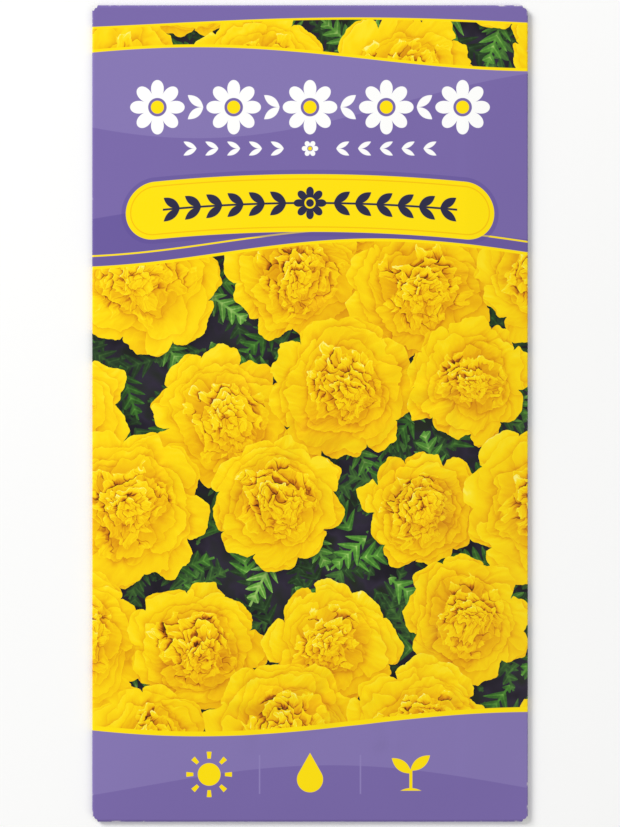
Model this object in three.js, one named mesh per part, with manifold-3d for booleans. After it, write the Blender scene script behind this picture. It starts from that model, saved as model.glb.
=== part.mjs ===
// A paper seed packet, lying on its back with its printed front up, and the marigold seeds inside it.
//
// Units are millimetres. +X runs across the packet, +Y towards its top edge and +Z up, and the origin is
// under the middle of the packet, on the surface that it lies on.
//
// The envelope is one sheet of paper. Laid out flat, the blank is the front panel with four others joined to
// its edges: the back panel on its left, a glue tab on its right, and a flap at each end. The blank is
// described in its own flat coordinates (u, v), and one folding rule carries each point to where it ends up.
import * as THREE from "three";
import { mergeVertices } from "three/addons/utils/BufferGeometryUtils.js";
import Module from "manifold-3d";

// ---------------------------------------------------------------- driving dimensions

const PACKET_WIDTH = 80;
const PACKET_HEIGHT = 150;

const PAPER = 0.15; // coated paper
const GLUE = 0.1; // a dried strip of glue
const CLEARANCE = 0.02; // between a glue strip and the paper on each side of it

const SIDE_TAB = 12; // the glue tab behind the front panel's right edge
const BOTTOM_FLAP = 14;
const TOP_FLAP = 18;
const FLAP_TAPER = 5; // how much each end of a flap draws in by its free edge
const TAB_TAPER = 3;
const CORNER_RELIEF = 1.5; // the notch cut at each corner of the blank, so that two folds don't meet
const BACK_STOPS_SHORT = 1; // from the back panel's free edge to the packet's right edge

const BULGE = 1.3; // how far the seeds lift the middle of the front panel
const BULGE_CENTRE_Y = -28; // below the middle, where the seeds gather

const SEED_COUNT = 44;
const SEED_BODY = 8.5; // the dark, slender achene
const SEED_WIDTH = 0.9;
const SEED_THICKNESS = 0.68;
const SEED_ROOM = 0.05; // from a lying seed to the back panel
const SEED_BED = { left: -27, right: 27, bottom: -61, top: 22 }; // the area that the seeds lie in
const SEED_SETTLING = 1.5; // over 1, the seeds lie denser towards the bottom
const SEED_DRAW = 20260; // seeds the random draws

// ---------------------------------------------------------------- levels and fold lines

// Levels are heights of the middle of the paper's thickness.
const GLUED_LAYER = PAPER + GLUE + 2 * CLEARANCE; // from one sheet to the one that it is glued to
const FLAP_LEVEL = PAPER / 2;
const BACK_LEVEL = FLAP_LEVEL + GLUED_LAYER;
const TAB_LEVEL = BACK_LEVEL + GLUED_LAYER;
const TAB_FOLD_RADIUS = 0.16;
const FRONT_LEVEL = TAB_LEVEL + 2 * TAB_FOLD_RADIUS;
const BACK_FOLD_RADIUS = (FRONT_LEVEL - BACK_LEVEL) / 2;
const END_FOLD_RADIUS = (FRONT_LEVEL - FLAP_LEVEL) / 2;

// A fold line is where the flat front panel ends and its fold begins.
const foldLine = (halfSize, radius) => halfSize - radius - PAPER / 2;
const TAB_FOLD_X = foldLine(PACKET_WIDTH / 2, TAB_FOLD_RADIUS);
const BACK_FOLD_X = foldLine(PACKET_WIDTH / 2, BACK_FOLD_RADIUS);
const END_FOLD_Y = foldLine(PACKET_HEIGHT / 2, END_FOLD_RADIUS);
const BACK_FOLD = { line: BACK_FOLD_X, radius: BACK_FOLD_RADIUS };
const TAB_FOLD = { line: TAB_FOLD_X, radius: TAB_FOLD_RADIUS };
const FLAP_HALF_WIDTH = BACK_FOLD_X - CORNER_RELIEF;
const SIDE_HALF_HEIGHT = END_FOLD_Y - CORNER_RELIEF;

// How far each panel reaches past its fold line, on the flat blank.
const arc = (radius) => Math.PI * radius;
const TAB_REACH = arc(TAB_FOLD_RADIUS) + SIDE_TAB;
const BACK_REACH = arc(BACK_FOLD_RADIUS) + BACK_FOLD_X + PACKET_WIDTH / 2 - BACK_STOPS_SHORT;
const BOTTOM_REACH = arc(END_FOLD_RADIUS) + BOTTOM_FLAP;
const TOP_REACH = arc(END_FOLD_RADIUS) + TOP_FLAP;

// ---------------------------------------------------------------- folding rule

// The bulge is 1 at its centre and falls to 0 at the fold lines.
function bulgeShare(x, y) {
  const across = Math.abs(x) / (x < 0 ? BACK_FOLD_X : TAB_FOLD_X);
  const lower = y < BULGE_CENTRE_Y;
  const reach = lower ? END_FOLD_Y + BULGE_CENTRE_Y : END_FOLD_Y - BULGE_CENTRE_Y;
  const along = Math.abs(y - BULGE_CENTRE_Y) / reach;
  if (across >= 1 || along >= 1) return 0;
  return (1 - across ** 3) * (1 - along ** (lower ? 3 : 2));
}

// Paper that runs `past` a fold line goes half round the fold and then straight back underneath.
function wrapRound(past, radius) {
  const turn = THREE.MathUtils.clamp(past / radius, 0, Math.PI);
  const under = Math.max(past - arc(radius), 0);
  return { turn, out: radius * Math.sin(turn) - under, drop: radius * (1 - Math.cos(turn)) };
}

// Where the blank's point (u, v) lies on the folded packet, and the way that its printed side faces there.
function fold(u, v) {
  const side = u < 0 ? BACK_FOLD : TAB_FOLD;
  const across = wrapRound(Math.abs(u) - side.line, side.radius);
  const along = wrapRound(Math.abs(v) - END_FOLD_Y, END_FOLD_RADIUS);
  const point = new THREE.Vector3(
    Math.sign(u) * (Math.min(Math.abs(u), side.line) + across.out),
    Math.sign(v) * (Math.min(Math.abs(v), END_FOLD_Y) + along.out),
    FRONT_LEVEL - across.drop - along.drop + BULGE * bulgeShare(u, v),
  );
  const facing = new THREE.Vector3(
    Math.sign(u) * Math.sin(across.turn),
    Math.sign(v) * Math.sin(along.turn),
    Math.cos(across.turn) * Math.cos(along.turn),
  );
  return { point, facing: facing.normalize() };
}

// Draws the tab, the back panel and the flaps in towards their free edges, as they are cut.
function cutOutline(u, v) {
  const pastEnd = Math.abs(v) - END_FOLD_Y;
  if (pastEnd > 0) {
    const share = pastEnd / (v < 0 ? BOTTOM_REACH : TOP_REACH);
    return [u * (1 - (share * FLAP_TAPER) / FLAP_HALF_WIDTH), v];
  }
  const pastTab = u - TAB_FOLD_X;
  if (pastTab > 0) return [u, v * (1 - ((pastTab / TAB_REACH) * TAB_TAPER) / SIDE_HALF_HEIGHT)];
  return [u, v];
}

// ---------------------------------------------------------------- the sheet as a solid

// Evenly spaced values from `from` up to, but not including, `to`.
const steps = (from, to, count) => Array.from({ length: count }, (_, i) => from + ((to - from) * i) / count);

const SIDE_FOLD_STEPS = 6;
const END_FOLD_STEPS = 8;
const columns = [
  ...steps(-BACK_FOLD_X - BACK_REACH, -BACK_FOLD_X - arc(BACK_FOLD_RADIUS), 8),
  ...steps(-BACK_FOLD_X - arc(BACK_FOLD_RADIUS), -BACK_FOLD_X, SIDE_FOLD_STEPS),
  -BACK_FOLD_X,
  ...steps(-FLAP_HALF_WIDTH, FLAP_HALF_WIDTH, 20),
  FLAP_HALF_WIDTH,
  ...steps(TAB_FOLD_X, TAB_FOLD_X + arc(TAB_FOLD_RADIUS), SIDE_FOLD_STEPS),
  ...steps(TAB_FOLD_X + arc(TAB_FOLD_RADIUS), TAB_FOLD_X + TAB_REACH, 2),
  TAB_FOLD_X + TAB_REACH,
];
const rows = [
  ...steps(-END_FOLD_Y - BOTTOM_REACH, -END_FOLD_Y - arc(END_FOLD_RADIUS), 2),
  ...steps(-END_FOLD_Y - arc(END_FOLD_RADIUS), -END_FOLD_Y, END_FOLD_STEPS),
  -END_FOLD_Y,
  ...steps(-SIDE_HALF_HEIGHT, SIDE_HALF_HEIGHT, 28),
  SIDE_HALF_HEIGHT,
  ...steps(END_FOLD_Y, END_FOLD_Y + arc(END_FOLD_RADIUS), END_FOLD_STEPS),
  ...steps(END_FOLD_Y + arc(END_FOLD_RADIUS), END_FOLD_Y + TOP_REACH, 2),
  END_FOLD_Y + TOP_REACH,
];

// The blank is a cross: the front panel, the side panels beside it and the flaps at its ends.
function inBlank(u, v) {
  const inFront = u > -BACK_FOLD_X && u < TAB_FOLD_X && Math.abs(v) < END_FOLD_Y;
  const inSides = Math.abs(v) < SIDE_HALF_HEIGHT;
  const inFlaps = Math.abs(u) < FLAP_HALF_WIDTH;
  return inFront || inSides || inFlaps;
}

// Gives the folded blank its thickness: a printed skin, an inner skin, and a wall along each cut edge.
function envelopeGeometry() {
  const positions = [];
  const corners = new Map(); // "column,row" to the number of that corner's printed and inner vertices
  const cornerAt = (i, j) => {
    const key = `${i},${j}`;
    if (!corners.has(key)) {
      const { point, facing } = fold(...cutOutline(columns[i], rows[j]));
      corners.set(key, positions.length / 3);
      for (const offset of [PAPER / 2, -PAPER / 2]) {
        positions.push(...point.clone().addScaledVector(facing, offset));
      }
    }
    return corners.get(key);
  };
  const filled = (i, j) => {
    if (i < 0 || j < 0 || i > columns.length - 2 || j > rows.length - 2) return false;
    return inBlank((columns[i] + columns[i + 1]) / 2, (rows[j] + rows[j + 1]) / 2);
  };

  const triangles = [];
  const quad = (a, b, c, d) => triangles.push(a, b, c, a, c, d);
  for (let i = 0; i < columns.length - 1; i++) {
    for (let j = 0; j < rows.length - 1; j++) {
      if (!filled(i, j)) continue;
      const [a, b, c, d] = [cornerAt(i, j), cornerAt(i + 1, j), cornerAt(i + 1, j + 1), cornerAt(i, j + 1)];
      quad(a, b, c, d);
      quad(a + 1, d + 1, c + 1, b + 1);
      if (!filled(i, j - 1)) quad(a, a + 1, b + 1, b);
      if (!filled(i + 1, j)) quad(b, b + 1, c + 1, c);
      if (!filled(i, j + 1)) quad(c, c + 1, d + 1, d);
      if (!filled(i - 1, j)) quad(d, d + 1, a + 1, a);
    }
  }
  const geometry = new THREE.BufferGeometry();
  geometry.setAttribute("position", new THREE.Float32BufferAttribute(positions, 3));
  geometry.setIndex(triangles);
  return geometry;
}

// ---------------------------------------------------------------- glue strips

// A flat strip with round ends, as long and wide as its box and lying on `underside`.
function glueGeometry({ left, right, bottom, top, underside }) {
  const radius = Math.min(right - left, top - bottom) / 2;
  const outline = new THREE.Shape();
  outline.absarc(left + radius, bottom + radius, radius, Math.PI, 1.5 * Math.PI);
  outline.absarc(right - radius, bottom + radius, radius, 1.5 * Math.PI, 2 * Math.PI);
  outline.absarc(right - radius, top - radius, radius, 0, 0.5 * Math.PI);
  outline.absarc(left + radius, top - radius, radius, 0.5 * Math.PI, Math.PI);
  outline.closePath();
  const strip = new THREE.ExtrudeGeometry(outline, { depth: GLUE, bevelEnabled: false, curveSegments: 4 });
  return strip.translate(0, 0, underside);
}

const GLUE_MARGIN = 2; // from a glue strip to the edge of the flap or tab that it holds
const topOf = (level) => level + PAPER / 2 + CLEARANCE;
const flapGlueHalfWidth = FLAP_HALF_WIDTH - FLAP_TAPER - GLUE_MARGIN;
const glueStrips = {
  side_seam_glue: {
    left: TAB_FOLD_X - SIDE_TAB + GLUE_MARGIN,
    right: PACKET_WIDTH / 2 - BACK_STOPS_SHORT - GLUE_MARGIN,
    bottom: -SIDE_HALF_HEIGHT + TAB_TAPER + GLUE_MARGIN,
    top: SIDE_HALF_HEIGHT - TAB_TAPER - GLUE_MARGIN,
    underside: topOf(BACK_LEVEL),
  },
  bottom_flap_glue: {
    left: -flapGlueHalfWidth,
    right: flapGlueHalfWidth,
    bottom: -SIDE_HALF_HEIGHT + GLUE_MARGIN,
    top: -END_FOLD_Y + BOTTOM_FLAP - GLUE_MARGIN,
    underside: topOf(FLAP_LEVEL),
  },
  top_flap_glue: {
    left: -flapGlueHalfWidth,
    right: flapGlueHalfWidth,
    bottom: END_FOLD_Y - TOP_FLAP + GLUE_MARGIN,
    top: SIDE_HALF_HEIGHT - GLUE_MARGIN,
    underside: topOf(FLAP_LEVEL),
  },
};

// ---------------------------------------------------------------- one seed

const wasm = await Module();
wasm.setup();

function solidFrom(geometry) {
  const bare = geometry.clone();
  bare.deleteAttribute("normal");
  bare.deleteAttribute("uv");
  const merged = mergeVertices(bare);
  const { position } = merged.attributes;
  const triVerts = new Uint32Array(merged.index.array);
  return new wasm.Manifold(new wasm.Mesh({ numProp: 3, vertProperties: position.array, triVerts }));
}

function geometryFrom(solid) {
  const mesh = solid.getMesh();
  const geometry = new THREE.BufferGeometry();
  geometry.setAttribute("position", new THREE.BufferAttribute(mesh.vertProperties, 3));
  geometry.setIndex(new THREE.BufferAttribute(mesh.triVerts, 1));
  return geometry;
}

// A closed form through oval sections strung along X: each gives its place, half width and half thickness.
function lofted(sections, sides, centre) {
  const positions = [];
  const triangles = [];
  for (const [along, halfWidth, halfThickness] of sections) {
    const { y, z } = centre(along);
    for (let k = 0; k < sides; k++) {
      const angle = (2 * Math.PI * (k + 0.5)) / sides;
      positions.push(along, y + halfWidth * Math.cos(angle), z + halfThickness * Math.sin(angle));
    }
  }
  const last = (sections.length - 1) * sides;
  for (let k = 0; k < sides; k++) {
    const next = (k + 1) % sides;
    for (let ring = 0; ring < last; ring += sides) {
      const beyond = ring + sides;
      triangles.push(ring + k, ring + next, beyond + k, ring + next, beyond + next, beyond + k);
    }
    if (k > 1) triangles.push(0, k, k - 1, last, last + k - 1, last + k);
  }
  const geometry = new THREE.BufferGeometry();
  geometry.setAttribute("position", new THREE.Float32BufferAttribute(positions, 3));
  geometry.setIndex(triangles);
  return geometry;
}

// The achene swells towards its top: [share of its length, share of its width].
const ACHENE_OUTLINE = [[0, 0.3], [0.15, 0.55], [0.5, 0.85], [0.88, 1], [1, 0.9]];
// The pappus on top is two long awns and three short scales: [length, sideways lean, lift].
const PAPPUS = [[4.8, 0.11, 0.05], [4, -0.15, 0.02], [2.4, -0.03, -0.03], [2.1, 0.3, 0], [2.2, -0.34, -0.01]];
const SCALE_ROOT = { width: 0.5, thickness: 0.2, sunk: 0.8 };
const SCALE_TIP = { width: 0.14, thickness: 0.1 };

// A seed along +X from its narrow base. It bends sideways by `curl` at the achene's top, and `stretch` makes
// its awns longer or shorter.
function seedSolid({ curl, stretch }) {
  const bend = (along) => ({ y: curl * (along / SEED_BODY) ** 2, z: 0 });
  const sections = ACHENE_OUTLINE.map(([share, width]) => [
    share * SEED_BODY,
    (width * SEED_WIDTH) / 2,
    (width * SEED_THICKNESS) / 2,
  ]);
  let seed = solidFrom(lofted(sections, 6, bend));
  const root = SEED_BODY - SCALE_ROOT.sunk;
  for (const [length, lean, lift] of PAPPUS) {
    const tip = SEED_BODY + length * stretch;
    const line = (along) => {
      const share = (along - root) / (tip - root);
      return { y: bend(root).y + (along - root) * (lean + (2 * curl) / SEED_BODY), z: share * lift };
    };
    const scale = [
      [root, SCALE_ROOT.width / 2, SCALE_ROOT.thickness / 2],
      [tip, SCALE_TIP.width / 2, SCALE_TIP.thickness / 2],
    ];
    seed = seed.add(solidFrom(lofted(scale, 4, line)));
  }
  return seed;
}

const SEED_SHAPES = [
  { curl: 0.25, stretch: 1 },
  { curl: -0.35, stretch: 0.85 },
  { curl: 0.45, stretch: 0.92 },
  { curl: -0.1, stretch: 1.08 },
];
const seedGeometries = SEED_SHAPES.map((shape) => geometryFrom(seedSolid(shape)));

// ---------------------------------------------------------------- where the seeds lie

// A small repeatable random generator (mulberry32).
function randomDraws(state) {
  return () => {
    state = (state + 0x6d2b79f5) | 0;
    let t = Math.imul(state ^ (state >>> 15), 1 | state);
    t = (t + Math.imul(t ^ (t >>> 7), 61 | t)) ^ t;
    return ((t ^ (t >>> 14)) >>> 0) / 4294967296;
  };
}

// A lying seed covers a row of discs: narrow along its body and wide along its pappus.
const FOOTPRINT = { spacing: 0.9, body: 0.75, pappus: 1.15, pappusReach: 5.2 };
function footprint({ x, y, heading }) {
  const discs = [];
  for (let along = 0; along <= SEED_BODY + FOOTPRINT.pappusReach; along += FOOTPRINT.spacing) {
    const radius = along < SEED_BODY ? FOOTPRINT.body : FOOTPRINT.pappus;
    discs.push({ x: x + along * Math.cos(heading), y: y + along * Math.sin(heading), radius });
  }
  return discs;
}

function scatterSeeds() {
  const draw = randomDraws(SEED_DRAW);
  const placed = [];
  const { left, right, bottom, top } = SEED_BED;
  const inBed = (disc) => disc.x > left && disc.x < right && disc.y > bottom && disc.y < top;
  const apart = (a, b) => Math.hypot(a.x - b.x, a.y - b.y) > a.radius + b.radius;
  while (placed.length < SEED_COUNT) {
    const seed = {
      x: THREE.MathUtils.lerp(left, right, draw()),
      y: THREE.MathUtils.lerp(bottom, top, draw() ** SEED_SETTLING),
      heading: 2 * Math.PI * draw(),
      shape: Math.floor(SEED_SHAPES.length * draw()),
    };
    const discs = footprint(seed);
    if (!discs.every(inBed)) continue;
    if (placed.some((other) => other.discs.some((a) => discs.some((b) => !apart(a, b))))) continue;
    placed.push({ ...seed, discs });
  }
  return placed;
}

// ---------------------------------------------------------------- the packet

const printedPaper = new THREE.MeshStandardMaterial({ color: 0xf6c500, roughness: 0.42, metalness: 0 });
const driedGlue = new THREE.MeshStandardMaterial({ color: 0xe9e2cf, roughness: 0.5, metalness: 0 });
const seedCoat = new THREE.MeshStandardMaterial({ color: 0x2b221c, roughness: 0.7, metalness: 0 });

const packet = new THREE.Group();

function addPiece(name, geometry, material) {
  const mesh = new THREE.Mesh(geometry, material);
  mesh.name = name;
  packet.add(mesh);
  return mesh;
}

addPiece("paper_envelope", envelopeGeometry(), printedPaper);
for (const [name, strip] of Object.entries(glueStrips)) addPiece(name, glueGeometry(strip), driedGlue);

const SEED_REST = BACK_LEVEL + PAPER / 2 + SEED_ROOM + SEED_THICKNESS / 2; // the seeds' middle
scatterSeeds().forEach(({ x, y, heading, shape }, i) => {
  const seed = addPiece(`seed_${String(i + 1).padStart(2, "0")}`, seedGeometries[shape], seedCoat);
  seed.position.set(x, y, SEED_REST);
  seed.rotation.z = heading;
});

export default packet;
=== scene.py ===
# %% [markdown]
# # A paper seed packet
#
# A seed packet is one sheet of coated paper, printed on one side, folded round and glued. This one lies
# on its back with its front up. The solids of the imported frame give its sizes; here the same sheet is cut
# finer, folded by the same rule and printed. The print is worked out by the material from a place on the
# flat sheet, as a printer sees it, so it turns round every fold with the paper.

# %% The frame and the tools
import math
import random

import bpy
import numpy as np
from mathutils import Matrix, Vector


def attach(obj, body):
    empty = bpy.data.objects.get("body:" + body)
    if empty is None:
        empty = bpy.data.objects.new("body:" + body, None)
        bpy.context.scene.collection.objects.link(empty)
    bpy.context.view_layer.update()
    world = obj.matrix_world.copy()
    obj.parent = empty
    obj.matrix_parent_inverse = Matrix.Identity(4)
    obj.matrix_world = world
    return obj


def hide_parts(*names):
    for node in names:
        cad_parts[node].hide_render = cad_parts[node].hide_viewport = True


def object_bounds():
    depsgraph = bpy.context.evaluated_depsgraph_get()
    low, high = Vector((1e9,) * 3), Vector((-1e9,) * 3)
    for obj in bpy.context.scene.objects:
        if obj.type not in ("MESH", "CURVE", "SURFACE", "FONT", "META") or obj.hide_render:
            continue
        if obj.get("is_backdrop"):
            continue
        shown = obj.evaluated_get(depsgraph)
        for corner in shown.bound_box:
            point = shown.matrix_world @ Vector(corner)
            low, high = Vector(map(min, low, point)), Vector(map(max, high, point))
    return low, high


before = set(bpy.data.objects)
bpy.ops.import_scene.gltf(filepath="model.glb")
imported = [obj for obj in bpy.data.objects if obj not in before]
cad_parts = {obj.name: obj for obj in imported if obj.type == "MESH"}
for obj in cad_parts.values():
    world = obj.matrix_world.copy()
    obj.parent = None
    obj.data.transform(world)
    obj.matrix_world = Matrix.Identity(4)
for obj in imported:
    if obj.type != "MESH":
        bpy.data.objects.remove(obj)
cad_low, cad_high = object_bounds()
MM = 0.001
packet = (cad_high - cad_low) / MM
print(f"the solids measure {packet.x:.1f} x {packet.y:.1f} x {packet.z:.2f} mm")

# %% [markdown]
# ## Camera
#
# The front is seen square on, so the camera looks straight down. A long lens keeps the sides parallel.
# The picture is 620 wide and 827 high, and a camera's sensor width lies along the longer side, which is
# the packet's length here. A little air above and below lets the folded ends show.

# %% Camera
LENS = 0.150
SENSOR = 0.036
AIR = 1.010


def add_object(name, data):
    """A new object in the scene that holds this mesh, lamp or camera."""
    added = bpy.data.objects.new(name, data)
    bpy.context.scene.collection.objects.link(added)
    return added


camera = add_object("camera", bpy.data.cameras.new("camera"))
camera.data.lens = LENS / MM
camera.data.sensor_width = SENSOR / MM
seen_height = packet.y * MM * AIR
camera.location = (0, 0, cad_high.z + seen_height * LENS / SENSOR)
bpy.context.scene.camera = camera
print(f"the camera stands {camera.location.z:.3f} m above the packet")

# %% [markdown]
# ## Sums that become nodes
#
# A pattern is arithmetic on a place, and arithmetic reads best as Python. This class wraps the output of
# a node. Writing `a + 2 * b` with it adds the maths nodes for that sum. Every other kind of node comes
# from `make`. The same class serves materials and Geometry Nodes, because both have the same maths nodes.


# %% A wire that can be added and multiplied
def adding(operation):
    """What an operator such as + does to a wire: it adds the maths node of its operation."""
    return lambda wire, *others: wire.maths(operation, *others)


class Wire:
    """One output of a node. Sums written with it add the nodes that work them out."""

    def __init__(self, tree, socket=None):
        self.tree, self.socket = tree, socket

    def make(self, kind, settings=None, inputs=None, output=0):
        """Adds a node of any kind: its settings first, then the values or wires of its sockets."""
        node = self.tree.nodes.new(kind)
        for name, value in (settings or {}).items():
            if name == "stops":
                set_stops(node.color_ramp, value)
            else:
                setattr(node, name, value)
        for key, value in (inputs or {}).items():
            if isinstance(value, Wire):
                self.tree.links.new(value.socket, node.inputs[key])
            else:
                node.inputs[key].default_value = value
        return Wire(self.tree, node.outputs[output])

    def other(self, output):
        """Another output of the same node."""
        return Wire(self.tree, self.socket.node.outputs[output])

    def maths(self, operation, *values):
        """Adds a maths node, the one for vectors where this wire carries a vector."""
        kind = "ShaderNodeVectorMath" if self.socket.type == "VECTOR" else "ShaderNodeMath"
        return self.make(kind, {"operation": operation}, dict(enumerate((self, *values))))

    def scaled(self, factor):
        return self.make("ShaderNodeVectorMath", {"operation": "SCALE"}, {0: self, "Scale": factor})

    def length(self):
        return self.make("ShaderNodeVectorMath", {"operation": "LENGTH"}, {0: self}, "Value")

    def dot(self, other):
        return self.make("ShaderNodeVectorMath", {"operation": "DOT_PRODUCT"}, {0: self, 1: other}, "Value")

    def xy(self):
        """The first two coordinates, with no node output left unused: each one takes up room in Cycles."""
        return self.dot((1, 0, 0)), self.dot((0, 1, 0))

    def xyz(self):
        parts = self.make("ShaderNodeSeparateXYZ", None, {0: self})
        return parts, parts.other(1), parts.other(2)

    def __rsub__(self, other):
        return self.make("ShaderNodeMath", {"operation": "SUBTRACT"}, {0: other, 1: self})

    def __neg__(self):
        return self * -1

    __add__ = __radd__ = adding("ADD")
    __mul__ = __rmul__ = adding("MULTIPLY")
    __sub__, __truediv__, __pow__ = adding("SUBTRACT"), adding("DIVIDE"), adding("POWER")
    __mod__, __abs__ = adding("FLOORED_MODULO"), adding("ABSOLUTE")
    __lt__, __gt__ = adding("LESS_THAN"), adding("GREATER_THAN")


def set_stops(color_ramp, stops):
    """Gives a colour ramp its (place, colour) stops."""
    while len(color_ramp.elements) < len(stops):
        color_ramp.elements.new(1)
    for element, (place, colour) in zip(color_ramp.elements, stops):
        element.position, element.color = place, colour


# %% Words for the sums
def smallest(a, b):
    return a.maths("MINIMUM", b)


def largest(a, b):
    return a.maths("MAXIMUM", b)


def clamped(a, low=0.0, high=1.0):
    return smallest(largest(a, low), high)


def sine(a):
    return a.maths("SINE")


def cosine(a):
    return a.maths("COSINE")


def fading(distance, reach):
    """1 up to a distance of 0, and falling off past it over about `reach`."""
    return smallest(distance * (-1 / reach), 0).maths("EXPONENT")


def ramp(value, start, end, low=0.0, high=1.0):
    """Runs smoothly from low to high as the value goes from start to end, and stays there outside."""
    ends = {0: value, 1: start, 2: end, 3: low, 4: high}
    return value.make("ShaderNodeMapRange", {"interpolation_type": "SMOOTHSTEP"}, ends)


def point(x, y, z=0.0):
    """Three numbers, of which some are wires, as one place."""
    start = x if isinstance(x, Wire) else y
    return start.make("ShaderNodeCombineXYZ", None, {0: x, 1: y, 2: z})


def choose(mask, no, yes):
    """`no` where the mask is 0 and `yes` where it is 1, for numbers or vectors."""
    wired = no if isinstance(no, Wire) else yes
    vector = isinstance(wired, Wire) and wired.socket.type == "VECTOR"
    settings = {"data_type": "VECTOR" if vector else "FLOAT"}
    first, output = (4, 1) if vector else (2, 0)
    return mask.make("ShaderNodeMix", settings, {0: mask, first: no, first + 1: yes}, output)


def paint(below, colour, mask):
    """A colour laid over the one below it, as far as the mask covers."""
    return mask.make("ShaderNodeMix", {"data_type": "RGBA"}, {0: mask, 6: below, 7: colour}, 2)


def noise(place, scale, detail=2.0, distortion=0.0):
    sizes = {"Vector": place, "Scale": scale, "Detail": detail, "Distortion": distortion}
    return place.make("ShaderNodeTexNoise", None, sizes)


def pushes(place, other, scale, detail):
    """A sideways push that changes from place to place: two noises, each swinging round 0."""
    return point(noise(place, scale, detail), noise(other, scale, detail)) - (0.5, 0.5, 0.0)


def chance_of(number, output="Value"):
    """A random number from 0 to 1 that always goes with the same number."""
    return number.make("ShaderNodeTexWhiteNoise", {"noise_dimensions": "1D"}, {"W": number}, output)


def chances(number):
    """Three such random numbers."""
    drawn = chance_of(number, "Color")
    parts = drawn.make("ShaderNodeSeparateColor", None, {0: drawn})
    return parts, parts.other(1), parts.other(2)


def ink(code):
    """A colour written as on a screen, such as "#FFD400", in the linear form that nodes take."""
    levels = [int(code[k : k + 2], 16) / 255 for k in (1, 3, 5)]
    return (*[c / 12.92 if c <= 0.04045 else ((c + 0.055) / 1.055) ** 2.4 for c in levels], 1.0)


def inked(value, *stops):
    """The colour that goes with a value, by (place, screen colour) stops."""
    stops = [(place, ink(code)) for place, code in stops]
    return value.make("ShaderNodeValToRGB", {"stops": stops}, {0: value})


print("a screen's yellow is", [round(c, 3) for c in ink("#FFD400")])

# %% [markdown]
# ## The sheet's sizes
#
# Laid flat, the sheet is a cross: the front panel in the middle, the back panel on its left, a narrow
# glue tab on its right and a flap at each end. A place on it is (u, v), in metres from the middle of the
# front panel. The levels say how high the middle of the paper lies in each layer once it is folded.

# %% Sizes of the sheet
PAPER = 0.15 * MM
GLUED_LAYER = 0.29 * MM  # from one sheet to the one that it is glued to
SIDE_TAB = 12 * MM
BOTTOM_FLAP = 14 * MM
TOP_FLAP = 18 * MM
FLAP_TAPER = 5 * MM
TAB_TAPER = 3 * MM
CORNER_RELIEF = 0.5 * MM  # cut out of each corner of the cross, so that no fold meets another
BACK_STOPS_SHORT = 1 * MM  # of the packet's side
BULGE_CENTRE_Y = -28 * MM
TAB_FOLD_RADIUS = 0.16 * MM

FLAP_LEVEL = PAPER / 2
BACK_LEVEL = FLAP_LEVEL + GLUED_LAYER
TAB_LEVEL = BACK_LEVEL + GLUED_LAYER
FRONT_LEVEL = TAB_LEVEL + 2 * TAB_FOLD_RADIUS
BULGE = cad_high.z - PAPER / 2 - FRONT_LEVEL
BACK_FOLD_RADIUS = (FRONT_LEVEL - BACK_LEVEL) / 2
END_FOLD_RADIUS = (FRONT_LEVEL - FLAP_LEVEL) / 2

TAB_FOLD_X = cad_high.x - TAB_FOLD_RADIUS - PAPER / 2
BACK_FOLD_X = cad_high.x - BACK_FOLD_RADIUS - PAPER / 2
END_FOLD_Y = cad_high.y - END_FOLD_RADIUS - PAPER / 2
FLAP_HALF_WIDTH = BACK_FOLD_X - CORNER_RELIEF
SIDE_HALF_HEIGHT = END_FOLD_Y - CORNER_RELIEF

TAB_REACH = math.pi * TAB_FOLD_RADIUS + SIDE_TAB
BACK_REACH = math.pi * BACK_FOLD_RADIUS + BACK_FOLD_X + cad_high.x - BACK_STOPS_SHORT
BOTTOM_REACH = math.pi * END_FOLD_RADIUS + BOTTOM_FLAP
TOP_REACH = math.pi * END_FOLD_RADIUS + TOP_FLAP
print(f"flat sheet: {(BACK_REACH + BACK_FOLD_X + TAB_FOLD_X + TAB_REACH) / MM:.0f} mm wide")

# %% [markdown]
# ## Cutting the blank
#
# A die cuts the blank out of a printed sheet. A filled outline would give its shape, but such faces don't
# bend. So the blank is a flat grid of faces. Its columns and rows stand close together where a fold will
# turn, and about a millimetre apart elsewhere, which is enough for the paper's swell. Each point keeps
# its place on the sheet in a UV map, in millimetres. The print reads it.


# %% The lines of the grid
HAIR = 1e-6  # lets a number that should be whole be a little off


def spread(start, end, spacing):
    """Even steps from start up to, but not including, end, at most `spacing` apart."""
    count = max(1, math.ceil((end - start) / spacing - HAIR))
    return [start + (end - start) * i / count for i in range(count)]


FRONT_STEP = 0.85 * MM
BACK_STEP = 1.1 * MM
CORNER_STEP = 0.1 * MM
SIDE_BENDS, END_BENDS = 7, 9


def fold_lines(line, radius, reach, bends):
    """The grid's lines from a fold line on: `bends` of them round the fold, then wider apart."""
    turned = line + math.pi * radius
    beyond = spread(turned, line + reach, BACK_STEP) + [line + reach]
    return spread(line, turned, math.pi * radius / bends) + beyond


left_side = [-x for x in reversed(fold_lines(BACK_FOLD_X, BACK_FOLD_RADIUS, BACK_REACH, SIDE_BENDS))]
right_side = fold_lines(TAB_FOLD_X, TAB_FOLD_RADIUS, TAB_REACH, SIDE_BENDS)
left_corner = spread(-BACK_FOLD_X, -FLAP_HALF_WIDTH, CORNER_STEP)[1:]
right_corner = spread(FLAP_HALF_WIDTH, TAB_FOLD_X, CORNER_STEP)
front_columns = left_corner + spread(-FLAP_HALF_WIDTH, FLAP_HALF_WIDTH, FRONT_STEP) + right_corner
columns = left_side + front_columns + right_side

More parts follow.
